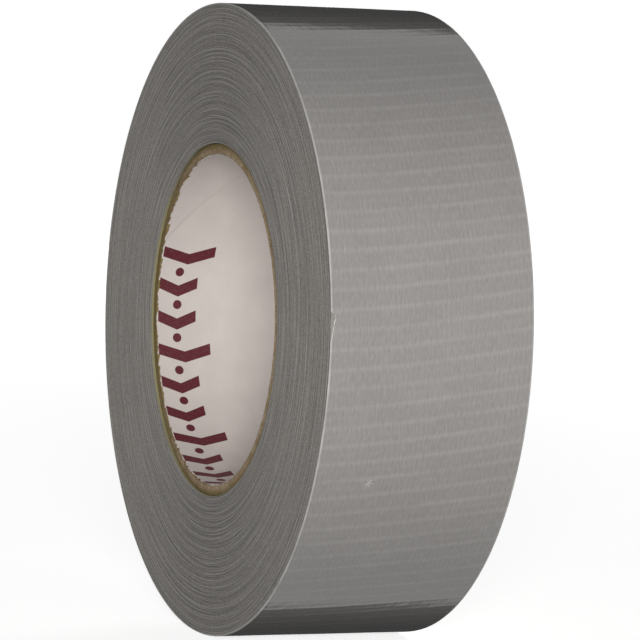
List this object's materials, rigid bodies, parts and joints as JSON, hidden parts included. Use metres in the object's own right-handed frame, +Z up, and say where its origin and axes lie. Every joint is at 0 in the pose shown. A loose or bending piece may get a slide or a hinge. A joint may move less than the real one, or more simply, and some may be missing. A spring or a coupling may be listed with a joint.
{
  "type": "duct tape roll",
  "caption": "Full roll of silver-grey cloth-backed duct tape on a spiral-wound board core, with a free end that peels up.",
  "frame": {"origin": "centre of the core's bore, halfway across the tape's width; the roll stands on its rim", "axes": "+Y along the bore, away from the front side; +Z up; +X to the right when the front side faces the viewer"},
  "size_m": [0.1457, 0.048, 0.1457],
  "materials": {
    "liner_paper": "uncoated pinkish-grey liner paper",
    "board": "raw brown chipboard",
    "wound_edge": "slit edges of wound tape, satin grey with fine rings",
    "adhesive": "tacky pale grey rubber adhesive",
    "scrim": "open-weave cotton gauze",
    "film": "satin silver-grey polyethylene over a woven cloth"
  },
  "bodies": {
    "roll": {"core_liner": "liner_paper", "core_ply_1": "board", "core_ply_2": "board", "core_ply_3": "board", "core_ply_4": "board", "core_wrap": "board", "tape_pack": "wound_edge", "outer_turn_adhesive": "adhesive", "outer_turn_scrim": "scrim", "outer_turn_film": "film"},
    "free_end": {"free_end_adhesive": "adhesive", "free_end_scrim": "scrim", "free_end_film": "film"}
  },
  "joints": [
    {"name": "free_end_peel", "type": "hinge", "parent": "roll", "child": "free_end", "pos_m": [-0.05985, 0, 0.04186], "axis": [0, 1, 0], "range_deg": [0, 150]}
  ]
}
